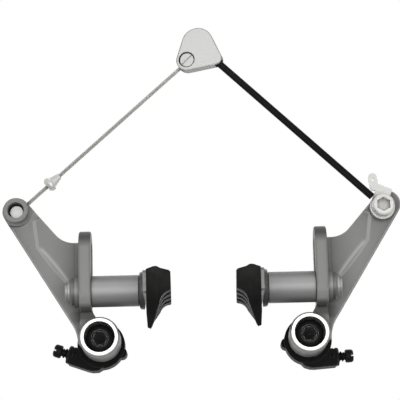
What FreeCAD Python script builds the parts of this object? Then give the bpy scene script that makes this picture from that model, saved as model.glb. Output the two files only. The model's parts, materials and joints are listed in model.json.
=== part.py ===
import FreeCAD, Part

import math
import os

from FreeCAD import Vector

# Cantilever rim brake: two arms that turn on frame studs, joined by a link wire,
# a link and a guide hose. Millimetres, X to the viewer's right, Y away from the
# viewer along the studs, Z up. The origin is midway between the stud axes, in
# the plane of the frame bosses that the bushes sit on.

# Frame interface
stud_spacing = 80.0
stud_bore_radius = 4.05
stud_land_length = 6.0
stud_relief_radius = 4.3

# Clearances
running_gap = 0.05
seat_gap = 0.1
free_gap = 0.3

# Pivot bush and fixing bolt
bush_length = 15.4
bush_radius = 5.2
bolt_head_radius = 5.5
bolt_head_height = 3.0
bolt_shank_radius = 3.0
bolt_shank_length = 9.0
bolt_socket_flats = 5.0
bolt_socket_depth = 2.2
bolt_dish_radius = 3.4
bolt_rim_drop = 1.2

# Arm barrel
barrel_radius = 7.75
barrel_front_y = -22.5
barrel_chamfer_depth = 1.3
barrel_chamfer_width = 0.7
head_recess_mouth_radius = 5.95

# Arm blade, seen from the front, measured outward and up from the pivot
blade_front_y = -12.4
blade_thickness = 4.6
blade_edge_round = 0.9
arm_end_x = 32.5
arm_end_z = 51.4
arm_end_radius = 5.4
outer_foot_x = 11.7
outer_foot_z = 7.6
shoulder_x = 14.4
shoulder_z = 38.7
shoulder_round = 9.5
panel_depth = 1.0
panel_slope = 1.5
panel_top_x = 25.0
panel_top_z = 47.5
panel_bend_x = 23.6
panel_bend_z = 36.8
panel_sag_x = 17.3
panel_sag_z = 28.2
panel_low_x = 12.2
panel_low_z = 22.4

# Flange that carries the shoe
flange_inner_x = 2.8
flange_thickness = 4.6
flange_half_depth = 7.7
flange_edge_round = 0.7
flange_root_round = 1.2
web_setback = 0.8
neck_relief = 1.7
slot_half_width = 3.3
slot_low_z = 16.6
slot_high_z = 33.2

# Brake shoe and its clamping stack, measured outward from the centre plane
post_z = 17.7
post_radius = 3.0
rubber_back_x = 21.4
plate_thickness = 1.2
plate_height = 8.8
plate_end_radius = 1.2
shoe_length = 42.0
shoe_top_z = 22.3
ridge_x = 18.0
ridge_rise = 0.9
nose_seam_x = 17.4
nose_face_setback = 1.5
nose_back_setback = 0.9
face_groove_count = 3
face_groove_pitch = 11.0
face_groove_width = 5.0
face_groove_depth = 1.2

# Shoe section at its near end and at its far end, which is slimmer and less deep
friction_face_x = (12.2, 12.85)
face_bottom_z = (14.2, 15.4)
fin_bottom_z = (-0.4, 7.0)
fin_width = (2.4, 1.4)
fin_tip_inset = (1.6, 0.9)

# Clamping stack of washers and spacer
dome_washer_radius = 7.3
dome_washer_rim_radius = 6.5
dome_washer_rim = 1.9
dome_washer_height = 3.3
seat_sphere_radius = 14.0
spacer_radius = 6.0
post_hole_gap = 0.25
cup_washer_thickness = 1.7
outer_dome_radius = 5.2
outer_dome_thickness = 1.7
nut_flange_radius = 4.4
nut_flange_thickness = 0.8
nut_tip_radius = 3.6
nut_tip_length = 1.2
nut_socket_flats = 5.0
nut_socket_depth = 1.1

# Spring cover, return spring and tension screw
cover_back_y = -0.4
cover_depth = 7.1
cover_radius = 9.2
cover_drop = 0.9
cover_cavity_radius = 7.1
cover_wall = 1.3
cover_bore_gap = 0.1
cover_turn = {"left": 15.5, "right": 0.0}
screw_rise = 3.0
screw_offset = 7.9
screw_radius = 2.0
screw_tip = 5.0
screw_head_start = 14.0
screw_head_length = 3.1
screw_head_radius = 2.55
screw_slot_width = 0.8
screw_slot_depth = 1.1
screw_boss_end = 11.3
screw_boss_half = 3.3
stop_lug_thickness = 1.6
stop_lug_half_height = 1.6
stop_lug_drop = 1.7
stop_lug_gap = 0.2
stop_skirt_inner_radius = 6.95
stop_skirt_outer_radius = 7.55
stop_skirt_start = -72.0
stop_skirt_end = -50.0
bump_radius = 2.1
bump_angle = 193.0
bump_reach = 10.8
spring_wire_radius = 0.6
spring_leg_radius = 0.55
spring_mean_radius = 6.05
spring_turns = 2.75
spring_pitch = 1.5
spring_leg_overlap = 0.3
spring_pin_reach = 3.5
spring_start_angle = 60.0
spring_leg_swing = 9.0

# Link wire, its end nipples and its bead
wire_radius = 0.75
socket_front_y = -16.0
socket_back_y = -6.2
socket_radius = 3.2
socket_boss_radius = 4.85
socket_flare = 2.2
nipple_radius = 2.7
nipple_front_y = -12.0
nipple_back_y = -7.1
wire_swing_in = 17.0
wire_swing_out = 17.0
bead_place = 19.0
bead_length = 6.4
bead_radius = 2.9

# Link, measured from its wire barrel
link_x = -4.2
link_y = -10.0
link_z = 112.1
link_yaw = 9.5
link_top_x = 4.4
link_top_z = 6.7
link_top_radius = 6.35
link_barrel_corner_radius = 4.3
link_hose_corner_x = 11.4
link_hose_corner_radius = 2.7
link_half_depth = 2.7
link_front_thickness = 1.8
link_edge_round = 0.7
link_seam = 0.3
link_hole_radius = 3.25
link_barrel_radius = 2.9
link_barrel_recess = 0.5
link_floor = 0.7
link_barrel_slot_width = 0.45
link_barrel_slot_depth = 0.35
link_swing = 9.0
wire_way_lean = 0.65
cable_way_radius = 1.1
cable_way_top_x = 3.4

# Guide hose
hose_radius = 1.4
hose_bore_radius = 0.9
hose_pivot_x = 12.4
hose_pivot_z = -1.55
hose_inside = 0.9
hose_front_gap = 5.6
hose_end_y = -16.2
hose_swing = 9.0

# Cable anchor on the right arm
anchor_x = 30.4
anchor_z = 49.5
anchor_pad_height = 0.5
keeper_thickness = 1.2
keeper_radius = 4.7
keeper_tab_angle = 66.5
keeper_tab_reach = 8.2
keeper_tab_width = 6.1
keeper_tab_shift = 1.85
keeper_ear_length = 7.0
keeper_ear_width = 3.5
keeper_ear_lean = 31.5
keeper_ear_out = 2.05
keeper_ear_hole_radius = 0.5
washer_radius = 4.9
washer_thickness = 1.4
anchor_head_radius = 4.25
anchor_head_height = 4.6
anchor_shank_radius = 3.0
anchor_shank_end_y = -6.6
anchor_socket_flats = 5.0
anchor_socket_depth = 2.8

# Places that follow from the sizes above
pivot_x = stud_spacing / 2
bush_front_y = -bush_length
bolt_head_front_y = bush_front_y - bolt_head_height
arm_bore_radius = bush_radius + running_gap
head_recess_radius = bolt_head_radius + free_gap
blade_back_y = blade_front_y + blade_thickness
cover_front_y = cover_back_y - cover_depth
barrel_back_y = cover_front_y - free_gap
post_y = blade_front_y - flange_half_depth
flange_outer_x = flange_inner_x + flange_thickness
plate_back_x = rubber_back_x + plate_thickness
spacer_end_x = pivot_x + flange_inner_x
outer_face_x = pivot_x + flange_outer_x
post_hole_radius = post_radius + post_hole_gap
screw_y = (cover_front_y + cover_back_y) / 2
socket_x = pivot_x + arm_end_x
wire_y = (nipple_front_y + nipple_back_y) / 2


def cylinder_y(radius, front, back, x=0.0, z=0.0):
    return Part.makeCylinder(radius, back - front, Vector(x, front, z), Vector(0, 1, 0))


def cylinder_x(radius, start, end, y, z):
    return Part.makeCylinder(radius, end - start, Vector(start, y, z), Vector(1, 0, 0))


def polygon_face(points):
    return Part.Face(Part.makePolygon([Vector(*p) for p in points] + [Vector(*points[0])]))


def place(shape, base, axis):
    """Turn a shape made along +Z so that it runs along axis, and move it to base."""
    shape.Placement = FreeCAD.Placement(base, FreeCAD.Rotation(Vector(0, 0, 1), axis))
    return shape


def turned(profile, base, axis):
    """Solid of revolution from (radius, height) pairs along an axis."""
    face = polygon_face([(radius, 0, height) for radius, height in profile])
    solid = face.revolve(Vector(0, 0, 0), Vector(0, 0, 1), 360)
    return place(solid, base, axis)


def hex_prism(flats, length, base, axis, spin=0.0):
    corner = flats / math.sqrt(3)
    angles = [math.radians(60 * i + spin) for i in range(6)]
    face = polygon_face([(corner * math.cos(a), corner * math.sin(a), 0) for a in angles])
    return place(face.extrude(Vector(0, 0, length)), base, axis)


def line(a, b):
    return Part.LineSegment(Vector(*a), Vector(*b)).toShape()


def arc(a, b, c):
    return Part.Arc(Vector(*a), Vector(*b), Vector(*c)).toShape()


def extruded_y(edges, front, back):
    """Extrude a closed outline in the XZ plane, drawn at y = 0."""
    solid = Part.Face(Part.Wire(edges)).extrude(Vector(0, back - front, 0))
    solid.translate(Vector(0, front, 0))
    return solid


def spun(shape, angle, x=0.0, z=0.0):
    """Turn a shape in the front view, anticlockwise, about a point."""
    turned_shape = shape.copy()
    turned_shape.rotate(Vector(x, 0, z), Vector(0, -1, 0), angle)
    return turned_shape


def edges_at_y(shape, y):
    return [e for e in shape.Edges if all(abs(v.Point.y - y) < 1e-6 for v in e.Vertexes)
            and abs(e.CenterOfMass.y - y) < 1e-6]


def tangent_point(px, pz, cx, cz, radius, side):
    """Where a line from a point touches a circle; side is +1 for the left of the way there."""
    distance = math.hypot(cx - px, cz - pz)
    heading = math.atan2(cz - pz, cx - px) + side * math.asin(radius / distance)
    reach = math.sqrt(distance ** 2 - radius ** 2)
    return px + reach * math.cos(heading), pz + reach * math.sin(heading), heading


def circle_hull(circles, y):
    """Edges of the convex outline round circles (x, z, radius), given anticlockwise."""
    touches = []
    for (ax, az, ar), (bx, bz, br) in zip(circles, circles[1:] + circles[:1]):
        heading = math.atan2(bz - az, bx - ax)
        lean = math.asin((ar - br) / math.hypot(bx - ax, bz - az))
        normal = heading - math.pi / 2 + lean
        touches.append((normal, (ax + ar * math.cos(normal), y, az + ar * math.sin(normal)),
                        (bx + br * math.cos(normal), y, bz + br * math.sin(normal))))
    edges = []
    for i, (cx, cz, cr) in enumerate(circles):
        arrive = touches[i - 1]
        leave = touches[i]
        sweep = (leave[0] - arrive[0]) % (2 * math.pi)
        middle = arrive[0] + sweep / 2
        edges.append(arc(arrive[2], (cx + cr * math.cos(middle), y, cz + cr * math.sin(middle)), leave[1]))
        edges.append(line(leave[1], leave[2]))
    return edges


def swing_way(reach, start, end, half, x, z):
    """Room for a rod of this half width that swings between two angles about (x, z)."""
    points = []
    for angle in (start, (start + end) / 2, end):
        a = math.radians(angle)
        points.append((x + reach * math.cos(a), 0, z + reach * math.sin(a)))
    edges = [line((x, 0, z), points[0]), arc(*points), line(points[2], (x, 0, z))]
    way = extruded_y(edges, -half, half)
    for angle in (start, end):
        rod = Part.makeBox(reach, 2 * half, 2 * half, Vector(x, -half, z - half))
        way = way.fuse(spun(rod, angle, x, z))
    return way


def sided(shape, side):
    """Parts are drawn for the right side; the left one is the mirror image."""
    if side == "right":
        return shape
    return shape.mirror(Vector(0, 0, 0), Vector(1, 0, 0))


# Pivot bush: plain sleeve that fits the frame stud

def pivot_bush():
    sleeve = cylinder_y(bush_radius, bush_front_y, 0.0, pivot_x)
    land = cylinder_y(stud_bore_radius, -stud_land_length, 0.0, pivot_x)
    relief = cylinder_y(stud_relief_radius, bush_front_y, -stud_land_length, pivot_x)
    return sleeve.cut(land).cut(relief)


# Fixing bolt: low head with a hexagon socket, seated on the bush's front end

def fixing_bolt():
    profile = [
        (0, bolt_shank_length),
        (bolt_shank_radius - 0.5, bolt_shank_length),
        (bolt_shank_radius, bolt_shank_length - 0.5),
        (bolt_shank_radius, 0),
        (bolt_head_radius, 0),
        (bolt_head_radius, -bolt_head_height + bolt_rim_drop + 0.3),
        (bolt_head_radius - 0.4, -bolt_head_height + bolt_rim_drop),
        (bolt_dish_radius, -bolt_head_height),
        (0, -bolt_head_height),
    ]
    seat = Vector(pivot_x, bush_front_y, 0)
    bolt = turned(profile, seat, Vector(0, 1, 0))
    front = Vector(pivot_x, bolt_head_front_y, 0)
    socket = hex_prism(bolt_socket_flats, bolt_socket_depth, front, Vector(0, 1, 0))
    point = turned([(0, 0), (bolt_socket_flats / 2 - 0.4, 0), (0, 1.2)],
                   front + Vector(0, bolt_socket_depth, 0), Vector(0, 1, 0))
    mouth_depth = 0.35
    mouth = turned([(0, 0), (bolt_socket_flats / math.sqrt(3) + mouth_depth, 0),
                    (bolt_socket_flats / math.sqrt(3) - 0.1, mouth_depth + 0.1), (0, mouth_depth + 0.1)],
                   front, Vector(0, 1, 0))
    return bolt.cut(socket).cut(point).cut(mouth)


# Arm: one forging with barrel, blade, slotted flange and cable end

def blade_outline():
    foot = (pivot_x + outer_foot_x, outer_foot_z)
    corner = (pivot_x + shoulder_x, shoulder_z)
    end = (socket_x, arm_end_z)
    out_x, out_z, out_heading = tangent_point(*foot, *end, arm_end_radius, -1)
    in_x, in_z, in_heading = tangent_point(*corner, *end, arm_end_radius, 1)
    top_angle = (out_heading - math.pi / 2 + in_heading + math.pi / 2) / 2
    top = (end[0] + arm_end_radius * math.cos(top_angle), 0, end[1] + arm_end_radius * math.sin(top_angle))
    reach = shoulder_round * math.tan(in_heading / 2)
    round_start = (corner[0] + reach * math.cos(in_heading), 0, corner[1] + reach * math.sin(in_heading))
    round_end = (corner[0] - reach, 0, corner[1])
    centre = (round_end[0], corner[1] + shoulder_round)
    away = math.atan2(corner[1] - centre[1], corner[0] - centre[0])
    round_mid = (centre[0] + shoulder_round * math.cos(away), 0, centre[1] + shoulder_round * math.sin(away))
    web_x = pivot_x + flange_inner_x + web_setback
    web_top = (web_x, 0, shoulder_z)
    web_low = (web_x, 0, barrel_radius + 4.3)
    hub_in = (pivot_x + 1.0, 0, barrel_radius - 0.7)
    hub_out = (pivot_x + 0.86 * barrel_radius, 0, -0.42 * barrel_radius)
    heel = (pivot_x + 1.14 * barrel_radius, 0, -0.12 * barrel_radius)
    foot_point = (foot[0], 0, foot[1])
    foot_mid = (pivot_x + 1.23 * barrel_radius, 0, 0.43 * outer_foot_z)
    neck_mid = (web_x - 0.6, 0, barrel_radius + 1.5)
    return [
        arc((out_x, 0, out_z), top, (in_x, 0, in_z)),
        line((in_x, 0, in_z), round_start),
        arc(round_start, round_mid, round_end),
        line(round_end, web_top),
        line(web_top, web_low),
        arc(web_low, neck_mid, hub_in),
        line(hub_in, hub_out),
        line(hub_out, heel),
        arc(heel, foot_mid, foot_point),
        line(foot_point, (out_x, 0, out_z)),
    ]


def blade():
    plate = extruded_y(blade_outline(), blade_front_y, blade_back_y)
    rims = edges_at_y(plate, blade_front_y) + edges_at_y(plate, blade_back_y)
    return plate.makeFillet(blade_edge_round, rims)


def name_panel():
    """The shallow field beside the blade's ridge, with a sloping wall along the ridge."""
    root_x = pivot_x + flange_outer_x + flange_root_round + 1.2

    def field(spread, y):
        start = (pivot_x + panel_top_x + spread, y, panel_top_z)
        bend = (pivot_x + panel_bend_x + spread, y, panel_bend_z)
        low = (pivot_x + panel_low_x + spread, y, panel_low_z)
        root = (root_x, y, panel_low_z - 2.9)
        shoulder = (root_x, y, shoulder_z + shoulder_round)
        far = (pivot_x + shoulder_x, y, arm_end_z + arm_end_radius)
        sag = (pivot_x + panel_sag_x + spread, y, panel_sag_z)
        return Part.Wire([line(start, bend), arc(bend, sag, low), line(low, root), line(root, shoulder),
                          line(shoulder, far), line(far, start)])

    return Part.makeLoft([field(panel_slope, blade_front_y - 0.01), field(0.0, blade_front_y + panel_depth)],
                         True, True)


def flange():
    centre_y = post_y
    low = slot_low_z + 1.2
    high = slot_high_z + 0.2
    half = flange_half_depth
    x = pivot_x + flange_inner_x
    edges = [
        arc((x, centre_y - half, low), (x, centre_y, low - half), (x, centre_y + half, low)),
        line((x, centre_y + half, low), (x, centre_y + half, high)),
        arc((x, centre_y + half, high), (x, centre_y, high + half), (x, centre_y - half, high)),
        line((x, centre_y - half, high), (x, centre_y - half, low)),
    ]
    plate = Part.Face(Part.Wire(edges)).extrude(Vector(flange_thickness, 0, 0))
    plate = plate.makeFillet(flange_edge_round, [e for e in plate.Edges
                                                 if abs(e.BoundBox.XMax - e.BoundBox.XMin) < 1e-6])
    root = Part.makeBox(flange_thickness - web_setback, flange_half_depth, high - low,
                        Vector(x + web_setback, blade_front_y - flange_half_depth + 0.5, low))
    return plate.fuse(root)


def flange_root_fillet():
    """Concave strip where the flange's outer face runs into the blade."""
    x = pivot_x + flange_outer_x
    r = flange_root_round
    y = blade_front_y
    bottom = slot_low_z
    top = shoulder_z - blade_edge_round - 0.2
    c = math.sqrt(0.5)
    edges = [line((x - 0.5, y + 0.5, bottom), (x - 0.5, y - r, bottom)),
             line((x - 0.5, y - r, bottom), (x, y - r, bottom)),
             arc((x, y - r, bottom), (x + r - r * c, y - r + r * c, bottom), (x + r, y, bottom)),
             line((x + r, y, bottom), (x + r, y + 0.5, bottom)),
             line((x + r, y + 0.5, bottom), (x - 0.5, y + 0.5, bottom))]
    return Part.Face(Part.Wire(edges)).extrude(Vector(0, 0, top - bottom))


def neck():
    """Web between the flange's foot and the barrel."""
    low = slot_low_z + 1.2 - flange_half_depth + 2.0
    points = [(pivot_x + flange_inner_x, 0, low - neck_relief), (pivot_x + 0.9, 0, barrel_radius - 0.6),
              (pivot_x + 0.7 * barrel_radius, 0, 0.3 * barrel_radius),
              (pivot_x + 1.0 * barrel_radius, 0, 0.52 * barrel_radius),
              (pivot_x + flange_outer_x - free_gap, 0, low),
              (pivot_x + flange_inner_x + free_gap, 0, low)]
    edges = [line(a, b) for a, b in zip(points, points[1:] + points[:1])]
    return extruded_y(edges, post_y + 1.5, blade_front_y + 1.0)


def screw_frame(side):
    """Foot point of the tension screw's axis and the axis itself, for one side."""
    angle = math.radians(screw_rise + cover_turn[side])
    axis = Vector(math.cos(angle), 0, math.sin(angle))
    foot = Vector(pivot_x + screw_offset * math.sin(angle), screw_y, -screw_offset * math.cos(angle))
    return foot, axis


def ring_sector(inner, outer, start, end, front, back, x, z):
    """Part of a ring about (x, z) between two angles of the front view."""
    corners = []
    for radius in (inner, outer):
        for angle in (start, (start + end) / 2, end):
            a = math.radians(angle)
            corners.append((x + radius * math.cos(a), 0, z + radius * math.sin(a)))
    edges = [arc(*corners[:3]), line(corners[2], corners[5]), arc(*corners[5:2:-1]),
             line(corners[3], corners[0])]
    return extruded_y(edges, front, back)


def stop_lug(side, grow=0.0):
    """Lug that the tension screw's tip bears on, carried by a skirt behind the barrel."""
    back = screw_y + stop_lug_half_height + grow
    spread = math.degrees(grow / stop_skirt_inner_radius)
    skirt = ring_sector(stop_skirt_inner_radius - grow, stop_skirt_outer_radius + grow,
                        stop_skirt_start - spread, stop_skirt_end + spread,
                        barrel_back_y - 2.0, back, pivot_x, 0.0)
    front = cover_front_y + cover_wall + stop_lug_gap
    top = -(stop_skirt_inner_radius - stop_lug_drop / 2)
    low = -screw_offset - stop_lug_drop
    block = Part.makeBox(stop_lug_thickness + 2 * grow, back - front + grow, top - low + 2 * grow,
                         Vector(pivot_x + screw_tip - stop_lug_thickness - grow, front - grow, low - grow))
    return spun(skirt.fuse(block), screw_rise + cover_turn[side], pivot_x, 0)


def socket_boss():
    """Boss of the left arm's wire socket, with a flare into the blade."""
    base = blade_front_y - socket_front_y
    flare_start = base * 0.35
    rise = base - flare_start
    profile = [(0, 0), (socket_boss_radius - 0.2, 0), (socket_boss_radius, 0.2), (socket_boss_radius, flare_start)]
    for share in (0.35, 0.6, 0.8, 0.93, 1.0):
        spread = socket_flare * (1 - math.sqrt(1 - share ** 2))
        profile.append((socket_boss_radius + spread, flare_start + rise * share))
    profile += [(socket_boss_radius + socket_flare, base + 1), (0, base + 1)]
    boss = turned(profile, Vector(socket_x, socket_front_y, arm_end_z), Vector(0, 1, 0))
    return boss.common(extruded_y(blade_outline(), socket_front_y - 1, blade_back_y))


def arm(side):
    barrel_length = barrel_back_y - barrel_front_y
    barrel = turned([(0, 0), (barrel_radius - barrel_chamfer_width, 0), (barrel_radius, barrel_chamfer_depth),
                     (barrel_radius, barrel_length), (0, barrel_length)],
                    Vector(pivot_x, barrel_front_y, 0), Vector(0, 1, 0))
    body = blade().cut(name_panel())
    body = body.fuse([barrel, flange(), flange_root_fillet(), neck(), stop_lug(side)])
    if side == "left":
        body = body.fuse(socket_boss())
        body = body.fuse(cylinder_y(arm_end_radius - 0.6, blade_back_y - 1, socket_back_y, socket_x, arm_end_z))
    else:
        pad = cylinder_y(keeper_radius + 0.4, blade_front_y - anchor_pad_height, blade_front_y + 1,
                         pivot_x + anchor_x, anchor_z)
        body = body.fuse(pad)
    body = body.removeSplitter()
    bore = cylinder_y(arm_bore_radius, barrel_front_y, barrel_back_y + 1, pivot_x)
    recess_back = bush_front_y + free_gap - seat_gap
    recess = turned([(0, 0), (head_recess_mouth_radius, 0),
                     (head_recess_radius, bolt_head_front_y - barrel_front_y),
                     (head_recess_radius, recess_back - barrel_front_y), (0, recess_back - barrel_front_y)],
                    Vector(pivot_x, barrel_front_y, 0), Vector(0, 1, 0))
    slot = obround_x(slot_half_width, slot_low_z, slot_high_z)
    body = body.cut([bore, recess, slot])
    if side == "left":
        return body.cut(socket_cut())
    thread = cylinder_y(anchor_shank_radius + running_gap, blade_front_y - 2, blade_back_y + 1,
                        pivot_x + anchor_x, anchor_z)
    return body.cut(thread)


def obround_x(half_width, low, high):
    x = pivot_x + flange_inner_x - 1
    tool = cylinder_x(half_width, x, x + flange_thickness + 2, post_y, low)
    tool = tool.fuse(cylinder_x(half_width, x, x + flange_thickness + 2, post_y, high))
    middle = Part.makeBox(flange_thickness + 2, 2 * half_width, high - low,
                          Vector(x, post_y - half_width, low))
    return tool.fuse(middle)


def socket_cut():
    hole = cylinder_y(socket_radius, socket_front_y - 1, nipple_back_y + seat_gap, socket_x, arm_end_z)
    heading = 180 - abs(math.degrees(math.atan2(link_z - arm_end_z, link_x + socket_x)))
    way = swing_way(arm_end_radius + 8, heading - wire_swing_in, heading + wire_swing_out,
                    wire_radius + free_gap, socket_x, arm_end_z)
    way.translate(Vector(0, wire_y, 0))
    return hole.fuse(way)


# Spring cover, its spring and the tension screw

def spring_cover(side):
    shell = cylinder_y(cover_radius, cover_front_y, cover_back_y, pivot_x, -cover_drop)
    shell = shell.makeFillet(0.8, edges_at_y(shell, cover_front_y))
    half = screw_boss_half
    top = -screw_offset + half
    low = -screw_offset - half
    points = [(pivot_x, 0, 0), (pivot_x - 0.85 * cover_radius, 0, -0.5 * cover_radius),
              (pivot_x - 1.6, 0, low + 0.2), (pivot_x + 0.6, 0, low - 0.5), (pivot_x + 2.4, 0, low - 0.6),
              (pivot_x + screw_boss_end - 0.8, 0, low), (pivot_x + screw_boss_end, 0, low + 0.8),
              (pivot_x + screw_boss_end, 0, top - 0.6), (pivot_x + screw_boss_end - 0.6, 0, top),
              (pivot_x + 0.62 * cover_radius, 0, top)]
    edges = [line(a, b) for a, b in zip(points, points[1:] + points[:1])]
    boss = extruded_y(edges, cover_front_y + 0.2, cover_back_y)
    bump_a = math.radians(bump_angle)
    bump_x = pivot_x + (bump_reach - bump_radius) * math.cos(bump_a)
    bump_z = (bump_reach - bump_radius) * math.sin(bump_a)
    bump = cylinder_y(bump_radius, cover_front_y + 1.0, cover_back_y, bump_x, bump_z)
    body = shell.fuse([boss, bump])
    body = spun(body, cover_turn[side], pivot_x, 0).removeSplitter()
    cavity = cylinder_y(cover_cavity_radius, cover_front_y + cover_wall, cover_back_y + 1, pivot_x)
    bore = cylinder_y(bush_radius + cover_bore_gap, cover_front_y - 1, cover_back_y + 1, pivot_x)
    foot, axis = screw_frame(side)
    thread = Part.makeCylinder(screw_radius + running_gap, screw_boss_end - screw_tip + 2,
                               foot + axis * (screw_tip - 0.5), axis)
    return body.cut([cavity, bore, thread, stop_lug(side, stop_lug_gap), spring_leg_way()])


def spring_front_y():
    return cover_front_y + cover_wall + 0.3 + spring_wire_radius


def spring_leg_way():
    """Slot in the cover's front wall that lets the spring's front leg stay put while the arm turns."""
    room = spring_leg_radius + free_gap
    half = spring_leg_swing + math.degrees(room / spring_mean_radius)
    return ring_sector(spring_mean_radius - room - 0.3, spring_mean_radius + room,
                       spring_start_angle - half, spring_start_angle + half,
                       cover_front_y - 1, cover_front_y + cover_wall + 1, pivot_x, 0.0)


def return_spring():
    height = spring_turns * spring_pitch
    helix = Part.makeHelix(spring_pitch, height, spring_mean_radius)
    start = helix.Edges[0].firstVertex().Point
    lead = Vector(0, 2 * math.pi * spring_mean_radius, spring_pitch)
    section = Part.Wire(Part.makeCircle(spring_wire_radius, start, lead))
    coil = Part.Wire(helix.Edges).makePipeShell([section], True, True)
    front_reach = spring_front_y() - cover_front_y - 0.4
    rear_reach = spring_pin_reach - spring_front_y() - height
    sink = Vector(0, 0, spring_leg_overlap)
    top = helix.Edges[-1].lastVertex().Point
    front_leg = Part.makeCylinder(spring_leg_radius, front_reach + sink.z, start - Vector(0, 0, front_reach))
    rear_leg = Part.makeCylinder(spring_leg_radius, rear_reach + sink.z, top - sink)
    spring = coil.fuse([front_leg, rear_leg])
    spring.rotate(Vector(0, 0, 0), Vector(1, 0, 0), -90)
    spring = spun(spring, spring_start_angle)
    spring.translate(Vector(pivot_x, spring_front_y(), 0))
    return spring


def tension_screw(side):
    foot, axis = screw_frame(side)
    head = screw_head_start
    end = screw_head_start + screw_head_length
    profile = [(0, screw_tip), (screw_radius - 0.5, screw_tip), (screw_radius, screw_tip + 0.5),
               (screw_radius, head), (screw_head_radius, head),
               (screw_head_radius, end - 0.9), (screw_head_radius - 0.7, end), (0, end)]
    body = turned(profile, foot, axis)
    cut = Part.makeBox(screw_slot_width, 2 * screw_head_radius + 1, screw_slot_depth + 1,
                       Vector(-screw_slot_width / 2, -screw_head_radius - 0.5, 0))
    return body.cut(place(cut, foot + axis * (end - screw_slot_depth), axis))


# Brake shoe: moulded rubber on a steel plate that carries the threaded post

def between_ends(pair, y):
    """Value of a size that runs evenly from the shoe's near end to its far end."""
    share = (y - post_y) / shoe_length + 0.5
    return pair[0] + (pair[1] - pair[0]) * share


def shoe_underside(y, inset):
    """Friction face and hollow underside, from the face's top to the fin's inner edge."""
    face = between_ends(friction_face_x, y) + inset
    bottom = between_ends(face_bottom_z, y)
    fin_low = between_ends(fin_bottom_z, y)
    drop = bottom - fin_low
    fin_in = rubber_back_x - between_ends(fin_width, y)
    corner = (face + 0.4, y, bottom + inset)
    waist = (face + 3.1, y, bottom + inset - 0.13 * drop)
    root = (face + 4.3, y, bottom + inset - 0.356 * drop)
    side = (face, y, bottom + inset + 0.4)
    return side, [line(side, corner), arc(corner, waist, root), line(root, (fin_in, y, fin_low + 1.4))]


def shoe_section(y):
    face = between_ends(friction_face_x, y)
    fin_low = between_ends(fin_bottom_z, y)
    tip_x = rubber_back_x - between_ends(fin_tip_inset, y)
    top = shoe_top_z
    side, underside = shoe_underside(y, 0.0)
    crown = [(rubber_back_x, y, fin_low + 6.0), (rubber_back_x, y, top), (ridge_x + 0.6, y, top + ridge_rise),
             (ridge_x - 0.6, y, top + ridge_rise), (ridge_x - 2.0, y, top + 0.2), (face + 0.6, y, top - 0.5),
             (face, y, top - 1.1), side]
    tip = [(rubber_back_x - between_ends(fin_width, y), y, fin_low + 1.4), (tip_x, y, fin_low),
           (rubber_back_x - 0.4, y, fin_low + 0.5), crown[0]]
    edges = [line(a, b) for a, b in zip(crown, crown[1:])] + underside
    edges += [line(a, b) for a, b in zip(tip, tip[1:])]
    return Part.Wire(edges)


def groove_core(y):
    """Section that the face grooves leave standing; it lies outside the shoe elsewhere."""
    side, underside = shoe_underside(y, face_groove_depth)
    fin_in = rubber_back_x - between_ends(fin_width, y)
    fin_low = between_ends(fin_bottom_z, y)
    outside = [(fin_in, y, fin_low + 1.4), (fin_in, y, fin_low - 3), (rubber_back_x + 3, y, fin_low - 3),
               (rubber_back_x + 3, y, shoe_top_z + 1.5), (side[0], y, shoe_top_z + 1.5), side]
    return Part.Wire(underside + [line(a, b) for a, b in zip(outside, outside[1:])])


def shoe_rubber():
    near = post_y - shoe_length / 2
    far = post_y + shoe_length / 2
    body = Part.makeLoft([shoe_section(near), shoe_section(far)], True, True)
    core = Part.makeLoft([groove_core(near), groove_core(far)], True, True)
    face = min(friction_face_x)
    cuts = []
    for i in range(face_groove_count):
        y = post_y + face_groove_pitch * (i - (face_groove_count - 1) / 2) - face_groove_width / 2
        slab = Part.makeBox(rubber_back_x - face + 1, face_groove_width, shoe_top_z - min(fin_bottom_z) + 3,
                            Vector(face - 1, y, min(fin_bottom_z) - 1))
        cuts.append(slab.cut(core))
    for edge_x, setback in ((face, nose_face_setback), (rubber_back_x, nose_back_setback)):
        outer_x = nose_seam_x + 1.5 * (edge_x - nose_seam_x)
        low = min(fin_bottom_z) - 1
        wedge = polygon_face([(nose_seam_x, near, low), (outer_x, near - 0.5, low), (outer_x, near + 1.5 * setback, low)])
        cuts.append(wedge.extrude(Vector(0, 0, shoe_top_z + 3 - low)))
    cuts.append(cylinder_x(post_radius + seat_gap, rubber_back_x - 1.5, rubber_back_x + 1, post_y, post_z))
    return body.cut(cuts)


def shoe_stud():
    length = shoe_length - 2.0
    top = shoe_top_z - 0.2
    r = plate_end_radius
    low = top - plate_height
    near = post_y - length / 2
    far = post_y + length / 2
    x = rubber_back_x
    c = r * (1 - math.sqrt(0.5))
    edges = [line((x, near, low + r), (x, near, top - r)),
             arc((x, near, top - r), (x, near + c, top - c), (x, near + r, top)),
             line((x, near + r, top), (x, far - r, top)),
             arc((x, far - r, top), (x, far - c, top - c), (x, far, top - r)),
             line((x, far, top - r), (x, far, low + r)),
             arc((x, far, low + r), (x, far - c, low + c), (x, far - r, low)),
             line((x, far - r, low), (x, near + r, low)),
             arc((x, near + r, low), (x, near + c, low + c), (x, near, low + r))]
    plate = Part.Face(Part.Wire(edges)).extrude(Vector(plate_thickness, 0, 0))
    end = nut_end_x() - nut_socket_depth - 0.3
    post = turned([(0, 0), (post_radius, 0), (post_radius, end - rubber_back_x + 0.6),
                   (post_radius - 0.5, end - rubber_back_x + 1.1), (0, end - rubber_back_x + 1.1)],
                  Vector(rubber_back_x - 1.1, post_y, post_z), Vector(1, 0, 0))
    return plate.fuse(post).removeSplitter()


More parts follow.
